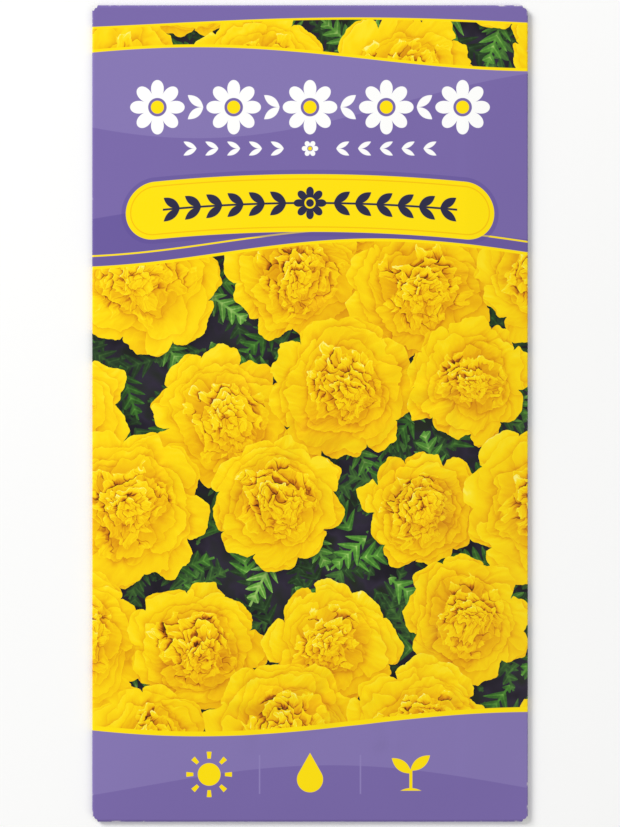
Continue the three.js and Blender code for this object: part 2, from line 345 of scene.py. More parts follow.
low_end = [-y for y in reversed(fold_lines(END_FOLD_Y, END_FOLD_RADIUS, BOTTOM_REACH, END_BENDS))]
high_end = fold_lines(END_FOLD_Y, END_FOLD_RADIUS, TOP_REACH, END_BENDS)
high_corner = spread(SIDE_HALF_HEIGHT, END_FOLD_Y, CORNER_STEP)
low_corner = [-v for v in reversed(high_corner)]
front_rows = low_corner + spread(-SIDE_HALF_HEIGHT, SIDE_HALF_HEIGHT, FRONT_STEP)[1:] + high_corner
rows = low_end + front_rows + high_end
print(f"the grid has {len(columns)} columns and {len(rows)} rows")


# %% Cutting the blank
FOLD_BLEED = 0.9 * MM  # how far the front's picture runs round a fold


def in_blank(u, v):
    """Whether there is paper at this place: in the front, the side panels or the flaps."""
    in_front = -BACK_FOLD_X < u < TAB_FOLD_X and abs(v) < END_FOLD_Y
    return in_front or abs(v) < SIDE_HALF_HEIGHT or abs(u) < FLAP_HALF_WIDTH


def cut_outline(u, v):
    """Draws the flaps and the tab in towards their free edges, and rounds the front's four corners."""
    corner_width = (TAB_FOLD_X if u > 0 else BACK_FOLD_X) - FLAP_HALF_WIDTH
    in_corner = (abs(u) - FLAP_HALF_WIDTH) / corner_width, (abs(v) - SIDE_HALF_HEIGHT) / CORNER_RELIEF
    if min(in_corner) > 0 and max(in_corner) < 1 + HAIR:
        pull = max(in_corner) / math.hypot(*in_corner)
        rounded_u = FLAP_HALF_WIDTH + in_corner[0] * pull * corner_width
        rounded_v = SIDE_HALF_HEIGHT + in_corner[1] * pull * CORNER_RELIEF
        return math.copysign(rounded_u, u), math.copysign(rounded_v, v)
    past_end, past_tab = abs(v) - END_FOLD_Y, u - TAB_FOLD_X
    if past_end > 0:
        share = past_end / (BOTTOM_REACH if v < 0 else TOP_REACH)
        return u * (1 - share * FLAP_TAPER / FLAP_HALF_WIDTH), v
    if past_tab > 0:
        return u, v * (1 - past_tab / TAB_REACH * TAB_TAPER / SIDE_HALF_HEIGHT)
    return u, v


def cut_blank():
    """The flat sheet as one mesh, with each point's place on it, in millimetres, as its UV map."""
    numbers, faces = {}, []
    for i in range(len(columns) - 1):
        for j in range(len(rows) - 1):
            middle = (columns[i] + columns[i + 1]) / 2, (rows[j] + rows[j + 1]) / 2
            if in_blank(*middle):
                corners = [(i, j), (i + 1, j), (i + 1, j + 1), (i, j + 1)]
                faces.append([numbers.setdefault(corner, len(numbers)) for corner in corners])
    places = np.array([cut_outline(columns[i], rows[j]) for i, j in numbers])
    mesh = bpy.data.meshes.new("paper_blank")
    mesh.from_pydata([(u, v, 0) for u, v in places], [], faces)
    sheet_map = mesh.uv_layers.new(name="sheet")
    sheet_map.data.foreach_set("uv", (places[np.array(faces).ravel()] / MM).ravel())
    middles = places[np.array(faces)].mean(1)
    outside = (abs(middles) > [BACK_FOLD_X + FOLD_BLEED, END_FOLD_Y + FOLD_BLEED]).any(1)
    mask = mesh.attributes.new("outside_front", "FLOAT", "FACE")
    mask.data.foreach_set("value", outside.astype(float))
    mesh.shade_smooth()
    return add_object("paper_blank", mesh)


blank = cut_blank()
print(f"the blank has {len(blank.data.polygons)} faces")

# %% [markdown]
# ## Trees with named sizes
#
# Geometry Nodes suit a shape that follows a rule, and the seeds and the folded sheet both do. Each tree
# here starts with named sizes, which could be turned by hand in Blender. `run_tree` sets them on a
# modifier and makes the result a plain mesh, because that is what leaves this scene.


# %% Starting and running a tree
def new_tree(name, sizes):
    """A Geometry Nodes tree: the tree, the geometry that comes in, and a wire for each named size."""
    tree = bpy.data.node_groups.new(name, "GeometryNodeTree")
    for way in ("INPUT", "OUTPUT"):
        tree.interface.new_socket("Geometry", in_out=way, socket_type="NodeSocketGeometry")
    for label in sizes:
        tree.interface.new_socket(label, in_out="INPUT", socket_type="NodeSocketFloat")
    start = Wire(tree).make("NodeGroupInput")
    return tree, start, {label: start.other(label) for label in sizes}


def end_tree(geometry, material, *others):
    """Ends a tree: makes instances real and gives the faces a material, or another where its mask is 1."""
    done = geometry.make("GeometryNodeRealizeInstances", None, {0: geometry})
    for finish, mask in ((material, True), *others):
        inputs = {"Geometry": done, "Selection": mask, "Material": finish}
        done = done.make("GeometryNodeSetMaterial", None, inputs)
    done.tree.links.new(done.socket, done.tree.nodes.new("NodeGroupOutput").inputs[0])


def run_tree(holder, tree, sizes):
    """Runs the tree before an object's other modifiers, and gives its mesh with all of them applied."""
    step = holder.modifiers.new(tree.name, "NODES")
    holder.modifiers.move(len(holder.modifiers) - 1, 0)
    step.node_group = tree
    for socket in tree.interface.items_tree:
        if socket.name in sizes:
            step[socket.identifier] = sizes[socket.name]
    ready = holder.evaluated_get(bpy.context.evaluated_depsgraph_get())
    mesh = bpy.data.meshes.new_from_object(ready)
    holder.modifiers.remove(step)
    return mesh


def new_piece(name, mesh, slot, *nodes):
    """A finished piece that rides on the packet and stands for the frame's nodes."""
    piece = add_object(name, mesh)
    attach(piece, "root")
    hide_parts(*nodes)
    mesh.calc_loop_triangles()
    print(f"{name}: {len(mesh.loop_triangles)} triangles")
    return piece


def new_material(name):
    """An empty material and the wire that its first node hangs on."""
    material = bpy.data.materials.new(name)
    material.use_nodes = True
    material.node_tree.nodes.clear()
    return material, Wire(material.node_tree)


def place_on(bench):
    """The place on an object, in metres. Each piece is at the origin, so this is the packet's own frame."""
    return bench.make("ShaderNodeTexCoord", output="Object")


def bumped(height, strength, depth):
    """Fine relief that follows a height, of at most this depth in millimetres."""
    sockets = {"Strength": strength, "Distance": depth * MM, "Height": height}
    return height.make("ShaderNodeBump", None, sockets)


def finish_material(bench, sockets):
    """Ends a material in one shader with these values or wires on its sockets."""
    surface = bench.make("ShaderNodeBsdfPrincipled", None, sockets)
    end = bench.tree.nodes.new("ShaderNodeOutputMaterial")
    bench.tree.links.new(surface.socket, end.inputs["Surface"])


# %% [markdown]
# ## Where the seeds lie
#
# The frame has 44 plain seeds. The place, heading, bend and length of each are read from its own solid,
# so the finer seeds lie exactly there. A plain seed starts with the ring of six points of its narrow base
# and ends in awns, whose tips have four points each. That tells its two ends apart.

# %% Reading the seeds from the frame
SEED_BODY = 8.5 * MM
LONG_AWN = 4.8 * MM
END_REACH = 0.3 * MM  # points so near to an end belong to it
WIDEST = 0.88  # of the way along the body
SLICE = 0.02 * MM  # how far from there a point may be, to be measured


def read_seed(node):
    """(middle of the base, heading, sideways bend, stretch of the awns) of one of the frame's seeds."""
    points = np.unique(np.array([v.co for v in node.data.vertices]).round(7), axis=0)
    flat = points[:, :2]
    gaps = np.linalg.norm(flat[:, None] - flat, axis=2)
    ends = np.unravel_index(gaps.argmax(), gaps.shape)
    base_end = max(ends, key=lambda end: (gaps[end] < END_REACH).sum())
    ring = points[gaps[base_end] < END_REACH]
    ring_gaps = np.linalg.norm(ring[:, None, :2] - ring[:, :2], axis=2)
    first, last = np.unravel_index(ring_gaps.argmax(), ring_gaps.shape)
    across = (ring[last] - ring[first])[:2] / ring_gaps[first, last]
    heading = np.array([across[1], -across[0]])
    base = ring.mean(0)
    if (flat.mean(0) - base[:2]) @ heading < 0:
        heading = -heading
    along = (flat - base[:2]) @ heading
    aside = (flat - base[:2]) @ [-heading[1], heading[0]]
    widest = aside[abs(along - WIDEST * SEED_BODY) < SLICE]
    bend = (widest.min() + widest.max()) / 2 / WIDEST**2
    return base, math.atan2(heading[1], heading[0]), bend, (along.max() - SEED_BODY) / LONG_AWN


seed_nodes = sorted(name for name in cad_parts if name.startswith("seed_"))
seeds_read = [read_seed(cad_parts[name]) for name in seed_nodes]
print(f"{len(seeds_read)} seeds, the first heading {math.degrees(seeds_read[0][1]):.0f} degrees")

# %% [markdown]
# ## One marigold seed
#
# A marigold's seed is a dry black achene, slender and ribbed along its length. On top it carries
# straw-coloured scales: two long awns and three short ones. It could be sculpted once and copied, but then
# all would look alike. Here the body is a cylinder whose points are drawn in by a formula, with ribs from
# a cosine round it, and each scale is a thin cone. They are copied to the places read above, and only
# then is each copy bent and stretched.

# %% The seed's sizes
SEED_SIZES = {
    "Body": SEED_BODY,
    "Width": 0.9 * MM,
    "Thickness": 0.68 * MM,
    "Ribs": 7.0,
    "Rib depth": 0.09,
    "Scale width": 0.5 * MM,
    "Scale thickness": 0.2 * MM,
    "Scale root": 0.8 * MM,
}
BODY_SIDES, BODY_RINGS = 28, 14
SCALE_SIDES, SCALE_RINGS = 6, 7
# The length of each scale in millimetres, how far it leans sideways and how far its tip rises
LONG_SCALES = [(LONG_AWN / MM, 0.11, 0.05), (4.0, -0.15, 0.02)]
SHORT_SCALES = [(2.4, -0.03, -0.03), (2.1, 0.3, 0), (2.2, -0.34, -0.01)]
seed_tree, seed_places_in, seed_size = new_tree("marigold_seed", SEED_SIZES)
print(f"a seed is {(SEED_BODY + LONG_AWN) / MM:.1f} mm long with its longest scale")


# %% The seed's body
def seed_body(size):
    """The ribbed achene along +X, from its narrow base at 0."""
    rod = {"Vertices": BODY_SIDES, "Side Segments": BODY_RINGS, "Radius": 1.0, "Depth": 1.0}
    tube = seed_places_in.make("GeometryNodeMeshCylinder", None, rod)
    x, y, z = tube.make("GeometryNodeInputPosition").xyz()
    share = z + 0.5
    angle = y.maths("ARCTAN2", x)
    swell = share**0.55 * 0.72 + 0.28 - ramp(share, 0.85, 1.0) * 0.12
    ribbed = swell * (cosine(angle * size["Ribs"]) * size["Rib depth"] + 1 - size["Rib depth"])
    across = x * ribbed * size["Width"] / 2
    up = y * ribbed * size["Thickness"] / 2
    moved = {"Geometry": tube, "Position": point(share * size["Body"], across, up)}
    return tube.make("GeometryNodeSetPosition", None, moved)


def seed_scale(size, length, lean, lift):
    """One thin scale from inside the top of the body, leaning sideways and rising a little."""
    rod = {"Vertices": SCALE_SIDES, "Side Segments": SCALE_RINGS, "Radius Top": 0.22, "Radius Bottom": 1.0}
    cone = seed_places_in.make("GeometryNodeMeshCone", None, rod | {"Depth": 1.0})
    x, y, z = cone.make("GeometryNodeInputPosition").xyz()
    long_way = size["Scale root"] + length * MM
    barbed = sine(z * 34) * 0.1 + 1
    across = x * barbed * size["Scale width"] / 2 + z * long_way * lean
    up = y * size["Scale thickness"] / 2 + z * lift * MM
    along = z * long_way + size["Body"] - size["Scale root"]
    moved = {"Geometry": cone, "Position": point(along, across, up)}
    return cone.make("GeometryNodeSetPosition", None, moved)


achene = seed_body(seed_size)
scales = [seed_scale(seed_size, *scale) for scale in LONG_SCALES + SHORT_SCALES]
print(f"a body of {BODY_SIDES} sides and {len(scales)} scales")


# %% [markdown]
# ## The seeds' two finishes
#
# The achene is charcoal black and dull, greyer on its ribs. The scales are the colour of dry straw. Two
# materials would need two sorts of faces. One is enough, because a number kept on each point tells body
# from scale: it is 0 on the body and up to 1 along a scale.


# %% Seed coat and scales
def seed_finish():
    material, bench = new_material("seed_coat_and_scales")
    place = place_on(bench)
    awn = bench.make("ShaderNodeAttribute", {"attribute_name": "awn"}, None, "Fac")
    rib = bench.make("ShaderNodeAttribute", {"attribute_name": "rib"}, None, "Fac")
    speckle = noise(place, 2500.0, 3.0)
    black = clamped(rib * 0.6 + speckle * 0.5 - 0.05)
    coat = inked(black, (0.0, "#0D0A09"), (0.55, "#231B17"), (1.0, "#5A4A3E"))
    dry = clamped(speckle * 0.5 + awn * 0.5)
    straw = inked(dry, (0.0, "#8A6E42"), (0.5, "#CDB583"), (1.0, "#EFE2BE"))
    finish_material(bench, {
        "Base Color": paint(coat, straw, ramp(awn, 0.0, 0.08)),
        "Roughness": ramp(speckle, 0.3, 0.7, 0.5, 0.75),
        "Normal": bumped(noise(place, 6000.0, 2.0), 0.35, 0.03),
    })
    return material


seed_material = seed_finish()
print("seed finish:", seed_material.name)


# %% Laying the seeds
def named(bench, name, kind="FLOAT"):
    """A number or a vector that is kept on each point under a name."""
    return bench.make("GeometryNodeInputNamedAttribute", {"data_type": kind}, {0: name})


def kept(geometry, name, value, kind="FLOAT"):
    """The geometry with a value stored on each point under a name."""
    settings = {"data_type": kind, "domain": "POINT"}
    inputs = {"Geometry": geometry, "Name": name, "Value": value}
    return geometry.make("GeometryNodeStoreNamedAttribute", settings, inputs)


def joined(bench, parts):
    """All of these geometries as one."""
    whole = bench.make("GeometryNodeJoinGeometry")
    for part in parts:
        whole.tree.links.new(part.socket, whole.socket.node.inputs[0])
    return whole


def lay_seeds():
    """Joins a seed's pieces, copies it to each place, then turns, bends and stretches each copy."""
    bench, size = seed_places_in, seed_size
    where = bench.make("GeometryNodeInputPosition")
    x, y, z = where.xyz()
    rib = (y * y + z * z).maths("SQRT") / (size["Width"] / 2)
    body = kept(kept(achene, "awn", 0.0), "rib", rib)
    reach = (x - size["Body"] + size["Scale root"]) / LONG_AWN
    tufts = kept(kept(joined(bench, scales), "awn", reach * 0.9 + 0.1), "rib", 0.0)
    whole = kept(joined(bench, (body, tufts)), "local", where, "FLOAT_VECTOR")
    copies = {"Points": seed_places_in, "Instance": whole}
    laid = bench.make("GeometryNodeInstanceOnPoints", None, copies)
    laid = laid.make("GeometryNodeRealizeInstances", None, {0: laid})
    local = named(bench, "local", "FLOAT_VECTOR")
    x, y, z = local.xyz()
    past = largest(x - size["Body"], 0)
    share = smallest(x / size["Body"], 1)
    bend = named(bench, "bend")
    aside = y + bend * share**2 + past * bend * 2 / size["Body"]
    along = x + past * (named(bench, "stretch") - 1)
    heading = named(bench, "heading")
    turned = point(along * cosine(heading) - aside * sine(heading),
                   along * sine(heading) + aside * cosine(heading), z)
    moved = {"Geometry": laid, "Position": where - local + turned}
    end_tree(bench.make("GeometryNodeSetPosition", None, moved), seed_material)


lay_seeds()
print(f"the seeds' tree has {len(seed_tree.nodes)} nodes")

# %% The seeds in their places
places = bpy.data.meshes.new("seed_places")
places.from_pydata([tuple(base) for base, *_ in seeds_read], [], [])
for column, label in enumerate(("heading", "bend", "stretch"), start=1):
    values = places.attributes.new(label, "FLOAT", "POINT")
    values.data.foreach_set("value", [seed[column] for seed in seeds_read])
places_holder = add_object("seed_places", places)
seed_mesh = run_tree(places_holder, seed_tree, SEED_SIZES)
seed_mesh.shade_smooth()
bpy.data.objects.remove(places_holder)
seeds = new_piece("marigold_seeds", seed_mesh, "seed", *seed_nodes)

# %% [markdown]
# ## Folding the sheet
#
# A machine folds the sheet round a plate and glues it. Bones or a cloth simulation could fold it too, but
# they wouldn't keep the layers a tenth of a millimetre apart. So the fold is one rule for every point of
# the blank: paper that runs past a fold line goes half round the fold, and then straight back under the
# front. Geometry Nodes work that sum out from (u, v). The front also swells over the seeds, shows each of
# them as a faint lump, and has the soft wrinkles that run out from the swell to the corners.

# %% The fold's sizes
FOLD_SIZES = {
    "Back fold line": BACK_FOLD_X,
    "Back fold radius": BACK_FOLD_RADIUS,
    "Tab fold line": TAB_FOLD_X,
    "Tab fold radius": TAB_FOLD_RADIUS,
    "End fold line": END_FOLD_Y,
    "End fold radius": END_FOLD_RADIUS,
    "Front level": FRONT_LEVEL,
    "Bulge": BULGE,
    "Bulge centre": BULGE_CENTRE_Y,
    "Seed lump": 0.26 * MM,
    "Seed lump reach": 2.4 * MM,
    "Wrinkle": 0.42 * MM,
    "Cockle": 0.30 * MM,
    "Tab ridge": 0.06 * MM,
    "Tab edge": TAB_FOLD_X - SIDE_TAB,
}
TAB_RAMP = 0.8 * MM  # half the width of the slope up to the tab's ridge
fold_tree, flat_sheet, fold_size = new_tree("fold_the_sheet", FOLD_SIZES)
print(f"the front lies {FRONT_LEVEL / MM:.2f} mm up and swells by {BULGE / MM:.2f} mm")


# %% Round a fold
def wrap_round(past, radius):
    """For paper that runs `past` a fold line: how far out it then lies, and how far down."""
    turn = clamped(past / radius, 0, math.pi)
    under = largest(past - radius * math.pi, 0)
    return radius * sine(turn) - under, radius * (1 - cosine(turn))


def bulge_share(u, v, line, size):
    """1 at the middle of the bulge and 0 at the fold lines."""
    lower = v < size["Bulge centre"]
    sides = size["End fold line"] - size["Bulge centre"], size["End fold line"] + size["Bulge centre"]
    across = smallest(abs(u) / line, 1)
    along = smallest(abs(v - size["Bulge centre"]) / choose(lower, *sides), 1)
    return (1 - across**3) * (1 - along ** choose(lower, 2.0, 3.0))


# %% Lumps and wrinkles
WRINKLES_GROW = 18 * MM, 60 * MM  # from none to full height, so far from the middle of the bulge


def seed_lumps(u, v, size):
    """How far each seed lifts the paper over it, some more than others."""
    seeds_in = flat_sheet.make("GeometryNodeObjectInfo", None, {"Object": seeds}, "Geometry")
    level = cad_low.z + seeds_read[0][0][2]
    probe = point(u, v, level)
    inputs = {"Geometry": seeds_in, "Sample Position": probe}
    gap = flat_sheet.make("GeometryNodeProximity", {"target_element": "FACES"}, inputs, "Distance")
    luck = ramp(noise(point(u, v, 0.0), 70.0, 0.0), 0.35, 0.62)
    near = 1 - ramp(gap / size["Seed lump reach"], 0.0, 1.0)
    return near * luck * size["Seed lump"]


def wrinkles(u, v, size):
    """Ridges that run out from the middle of the bulge, and a slower cockle all over the front."""
    away = v - size["Bulge centre"]
    far = (u * u + away * away).maths("SQRT")
    angle = away.maths("ARCTAN2", u)
    spokes = noise(point(cosine(angle) * 3.2, sine(angle) * 3.2, far * 9), 1.0, 1.0)
    ridges = (spokes - 0.5) * ramp(far, *WRINKLES_GROW) * size["Wrinkle"]
    cockle = (noise(point(u, v, 0.31), 26.0, 1.0) - 0.5) * size["Cockle"]
    return ridges + cockle


# %% The whole fold
def fold_sheet(size):
    """Moves each point of the flat sheet to its place on the folded one, swell and wrinkles included."""
    bench = flat_sheet
    u, v, _ = bench.make("GeometryNodeInputPosition").xyz()
    back_side = u < 0
    line = choose(back_side, size["Tab fold line"], size["Back fold line"])
    radius = choose(back_side, size["Tab fold radius"], size["Back fold radius"])
    across_out, across_drop = wrap_round(abs(u) - line, radius)
    along_out, along_drop = wrap_round(abs(v) - size["End fold line"], size["End fold radius"])
    x = u.maths("SIGN") * (smallest(abs(u), line) + across_out)
    y = v.maths("SIGN") * (smallest(abs(v), size["End fold line"]) + along_out)
    share = bulge_share(u, v, line, size)
    calm = ramp(share, 0.0, 0.35)
    ridge = ramp(u, size["Tab edge"] - TAB_RAMP, size["Tab edge"] + TAB_RAMP) * size["Tab ridge"]
    relief = (wrinkles(u, v, size) + seed_lumps(u, v, size) + ridge) * calm
    z = size["Front level"] - across_drop - along_drop + size["Bulge"] * share + relief
    moved = {"Geometry": flat_sheet, "Position": point(x, y, z)}
    return bench.make("GeometryNodeSetPosition", None, moved)


folded = fold_sheet(fold_size)
print(f"the fold rule has {len(fold_tree.nodes)} nodes")

# %% [markdown]
# ## Sums that are used many times
#
# The print needs some sums dozens of times, such as the one that lays a bloom. Such a sum becomes a node
# group: its nodes exist once, and each use is a single node. The decorator below turns a function of
# wires into one.


# %% Groups of nodes
def floats(*labels):
    """Sockets with these labels that each carry a number."""
    return dict.fromkeys(labels, "Float")


def as_group(inputs, outputs):
    """Makes a function of wires add a node group of its own. Sockets are given as label and kind."""

    def wrap(recipe):
        tree = bpy.data.node_groups.new(recipe.__name__, "ShaderNodeTree")
        for way, sockets in (("INPUT", inputs), ("OUTPUT", outputs)):
            for label, kind in sockets.items():
                tree.interface.new_socket(label, in_out=way, socket_type=f"NodeSocket{kind}")
        start = Wire(tree).make("NodeGroupInput")
        results = recipe(*[start.other(label) for label in inputs])
        end = tree.nodes.new("NodeGroupOutput")
        for label, result in zip(outputs, results):
            tree.links.new(result.socket, end.inputs[label])
        print(f"the group {tree.name} has {len(tree.nodes)} nodes")

        def use(*values):
            wired = next(value for value in values if isinstance(value, Wire))
            node = wired.make("ShaderNodeGroup", {"node_tree": tree}, dict(zip(inputs, values)))
            return [node.other(label) for label in outputs]

        return use

    return wrap


# %% [markdown]
# ## Printing: the field of blooms
#
# The front is covered with yellow double marigolds, about 27 mm across, seen from above. A picture file
# could be laid on it, but arithmetic is sharp at any size and needs no file. Each bloom is drawn in its
# own coordinates: 0 at its middle and 1 at its rim. The blooms are laid one over the other, row by row
# from the top. Only the one that shows at a place is then drawn there, so many blooms cost little.

# %% Places of the blooms
OUTER_PETALS = 9
BLOOM_ROWS, BLOOM_COLUMNS = 8, 4
ROW_PACE, COLUMN_PACE = 20.5, 26.0
TOP_ROW = 84.0
STAGGER = 0.25  # of a pace, to one side and the other in turn
JITTER = 4.2
SMALL_BLOOM, LARGE_BLOOM = 11.4, 15.4
HIDDEN = 46, 56  # a bloom with its middle at this height would lie under the header
LIGHT = (-0.55, 0.83, 0.0)  # the way that the light comes from in the pictured flowers
BESIDE_LIGHT = (0.83, 0.55, 0.0)


def bloom_places():
    """(centre, radius, chance) of each bloom, in staggered rows from the top down."""
    draw = random.Random(31)
    blooms, middle = [], (BLOOM_COLUMNS - 1) / 2
    for row in range(BLOOM_ROWS):
        shift = STAGGER if row % 2 else -STAGGER
        for column in range(BLOOM_COLUMNS):
            x = (column - middle + shift) * COLUMN_PACE + draw.uniform(-1, 1) * JITTER
            y = TOP_ROW - row * ROW_PACE + draw.uniform(-1, 1) * JITTER
            blooms.append(((x, y), draw.uniform(SMALL_BLOOM, LARGE_BLOOM), draw.random()))
    return [bloom for bloom in blooms if not HIDDEN[0] < bloom[0][1] < HIDDEN[1]]


blooms = bloom_places()
print(f"{len(blooms)} blooms")


# %% Laying a bloom
def crimped(across, luck, depth):
    """The fine waves of a petal's rim, each petal's moved along by its luck."""
    return sine(across.maths("MULTIPLY_ADD", 7.0, luck * 40)) * depth


def outer_petal(local, mark):
    """Across which outer petal a direction falls (-1 to 1), that petal's chance, and how far it reaches."""
    x, y = local.xy()
    turn = (mark * 5.3).maths("FRACT") * OUTER_PETALS
    fan = y.maths("ARCTAN2", x).maths("MULTIPLY_ADD", OUTER_PETALS / math.tau, turn)
    petal = fan.maths("FLOOR")
    across = (fan - petal).maths("MULTIPLY_ADD", 2.0, -1.0)
    luck = chance_of(petal % OUTER_PETALS + mark * 977)
    crimp = crimped(across, luck, 0.016)
    reach = luck.maths("MULTIPLY_ADD", 0.16, 0.91) - abs(across) ** 2.6 * 0.13 + crimp
    return across, luck, reach


SHOWN = {"own": "Vector"} | floats("mark", "covered", "shade")


@as_group({"place": "Vector", "centre": "Vector"} | floats("scale", "chance") | SHOWN, SHOWN)
def lay_bloom(place, centre, scale, chance, own, mark, covered, shade):
    """Lays a bloom over those laid so far. It casts a soft shade, away from the light, on those below."""
    local = (place - centre).scaled(scale)
    _, _, reach = outer_petal(local, chance)
    far = local.length()
    past = far - reach
    inside = past < 0
    depth = local.dot(LIGHT) / far * 0.22 - 0.55
    cast = fading(past, 0.13) * depth + 1
    laid = choose(inside, own, local), choose(inside, mark, chance)
    return *laid, largest(inside, covered), choose(inside, cast * shade, 1.0)


def bloom_field(place):
    """The showing bloom's own coordinates and mark at a place, whether one shows, and the shade there."""
    shown = (0.0, 0.0, 0.0), 0.0, 0.0, 1.0
    for centre, radius, chance in blooms:
        shown = lay_bloom(place, (*centre, 0.0), 1 / radius, chance, *shown)
    return shown


# %% [markdown]
# ## Printing: one bloom
#
# A double marigold has a few rings of broad, ruffled petals and a crest of small curled ones. First comes
# the question which petal shows at a place, and where on that petal the place lies: across it from -1 to
# 1, and out along it from 0 to 1. Each ring is asked by the same group, once for each of the two petals
# that may lie there.


# %% Which petal shows
PETAL = {"spot": "Vector"} | floats("edge", "shade")  # the spot is (across, out, chance)


@as_group(floats("far", "fan", "count", "reach", "seed") | PETAL, PETAL)
def lay_petal(far, fan, count, reach, seed, spot, edge, shade):
    """Lays one petal of a ring over those laid so far."""
    petal = fan.maths("FLOOR")
    number = petal % count + seed
    luck = chances(number)
    across = (fan - petal - 0.5 - (luck[0] - 0.5) * 0.14) / 0.44
    crimp = crimped(across, luck[2], 0.022)
    out = far / ((luck[1] * 0.30 + 0.85 + crimp) * reach)
    shape = 1 - abs(across) ** 3 - out**8
    inside = shape > 0
    cast = fading(-shape, 0.5) * -0.42 + 1
    spot = choose(inside, spot, point(across, out, luck[2]))
    return spot, choose(inside, edge, shape), choose(inside, shade * cast, 1.0)


def petal_ring(below, bloom, count, reach, seed):
    """A ring of overlapping petals: every second one, turned by half a petal, then those between them."""
    fan = bloom["angle"] * (count / math.tau) + bloom["mark"] * (7.3 * seed) + (bloom["far"] - reach) * 0.6
    for step in (0.5, 0.0):
        number = bloom["mark"] * 977 + 31 * seed + 7 * step
        below = lay_petal(bloom["far"], fan + step, count, reach, number, *below)
    return below


# %% Petals of one bloom
RINGS = [(4, 0.88), (5, 0.71), (5, 0.56)]  # petals in each half of a ring, and their reach


def bloom_petals(own, mark):
    """The petal that shows at a place of a bloom, and what the painting of petals needs to know."""
    x, y = own.xy()
    far = largest(own.length(), 0.001)
    ruffle = noise(point(x / far * 6, y / far * 6, mark * 50), 1.0, 2.0)
    bloom = {"angle": y.maths("ARCTAN2", x), "mark": mark, "far": (ruffle * 0.16 + 0.92) * far,
             "outward": own.dot(LIGHT) / far, "sideways": own.dot(BESIDE_LIGHT) / far}
    across, luck, reach = outer_petal(own, mark)
    out = far / reach
    petal = point(across, out, luck), 1 - abs(across) ** 5 - out**8, mark * 0 + 1
    for number, (count, reach) in enumerate(RINGS):
        petal = petal_ring(petal, bloom, count, reach, number + 1)
    return bloom, *petal


print(f"{len(RINGS)} rings of petals inside the outer one")

# %% [markdown]
# ## Printing: the light on a petal
#
# A petal is a thin sheet with pleats along it. Light shows its form, so the drawing gives each petal a
# slope. The slope of the pleats is the difference between two readings of one noise, a little way apart.
# A slope that faces the light is bright. The tone that comes out is a number from 0 to 1, and a ramp of
# inks colours it.


# %% Light on a petal
SLOPE_STEP = 0.05


@as_group(PETAL | floats("outward", "sideways"), floats("tone"))
def petal_tone(spot, edge, shade, outward, sideways):
    """How light a place on a petal is."""
    across, out, luck = spot.xyz()
    pleats = [noise(point((across + step[0]) * 1.3 + luck * 40, (out + step[1]) * 1.3, luck * 9), 1.5, 2.0)
              for step in ((0, 0), (SLOPE_STEP, 0), (0, SLOPE_STEP))]
    growing = ramp(out, 0.2, 0.95, 0.35, 1.0)
    slope_across = (pleats[0] - pleats[1]) * growing * 1.3 + across * 0.08
    slope_out = (pleats[0] - pleats[2]) * growing * 1.0 + (out - 0.6) * 0.15
    lit = slope_across * sideways + slope_out * outward
    hollow = abs(across) ** 2 * -0.06 + ramp(out, 0.2, 0.9, -0.16, 0.0)
    lip = fading(edge, 0.07) * 0.08
    tone = lit + hollow + lip + (luck - 0.5) * 0.08 + 0.78
    return [tone * (shade * 0.6 + 0.4)]


# %% The crest in the middle
CREST = [(7.0, 0.54, 3.0), (9.2, 0.43, 7.0), (12.0, 0.27, 11.0)]  # florets in a unit, reach and seed


@as_group({"own": "Vector"} | floats("mark", "finest", "reach", "seed", "below"), floats("tone"))
def lay_crest(own, mark, finest, reach, seed, below):
    """A cluster of small curled petals that point outwards, bright at the lip and brown at the root."""
    away = point(mark * 60 + seed, mark * 30, 0.0)
    bent = own + pushes(own + away, own - away, 5.0, 2.0).scaled(0.24) + away
    flat, cells = {"voronoi_dimensions": "2D"}, {"Vector": bent, "Scale": finest}
    found = own.make("ShaderNodeTexVoronoi", flat, cells, "Position")
    gap = own.make("ShaderNodeTexVoronoi", flat | {"feature": "DISTANCE_TO_EDGE"}, cells, "Distance")
    heart = found - away
    luck = chance_of(heart.length() * 913 + mark)
    local = (bent - found).scaled(finest)
    outward = heart.maths("NORMALIZE")
    along, aside = local.dot(outward), local.maths("CROSS_PRODUCT", outward).dot((0, 0, 1))
    pleat = noise(point(aside * 5 + luck * 40, along * 1.3, luck * 9), 1.0, 1.0, distortion=0.8)
    lit = (local.dot(LIGHT) + outward.dot(LIGHT) * along) * 0.14
    lip = fading(abs(gap - 0.08) - 0.01, 0.04) * ramp(along, -0.1, 0.4) * 0.14
    root = ramp(along, -0.60, 0.10, 0.44, 0.0) * (luck * 0.8 + 0.3)
    deep = ramp(gap, 0.0, 0.13, 1.0, 0.0) * ramp(along, 0.25, -0.25) * 0.26
    tone = 0.72 + lit + lip + (pleat - 0.5) * 0.60 + (luck - 0.5) * 0.14 - root - deep
    inside = heart.length() < (luck * 0.5 + 0.65) * reach
    cast = fading(own.length() - reach, 0.10) * -0.22 + 1
    return [choose(inside, below * cast, tone)]


# %% [markdown]
# ## Printing: the petals' inks
#
# The inks go from the brown of the deepest gaps, through gold, to the pale yellow of a rim in full light.
# One ramp for all blooms keeps them of one kind, and a small step of tone for each sets them apart.

# %% Inks of the petals
PETAL_INKS = [
    (0.00, "#4A2102"), (0.18, "#A65406"), (0.34, "#DA9002"), (0.50, "#F0B600"),
    (0.64, "#F9CC00"), (0.78, "#FEDB04"), (0.92, "#FFE626"), (1.00, "#FFF27A"),
]


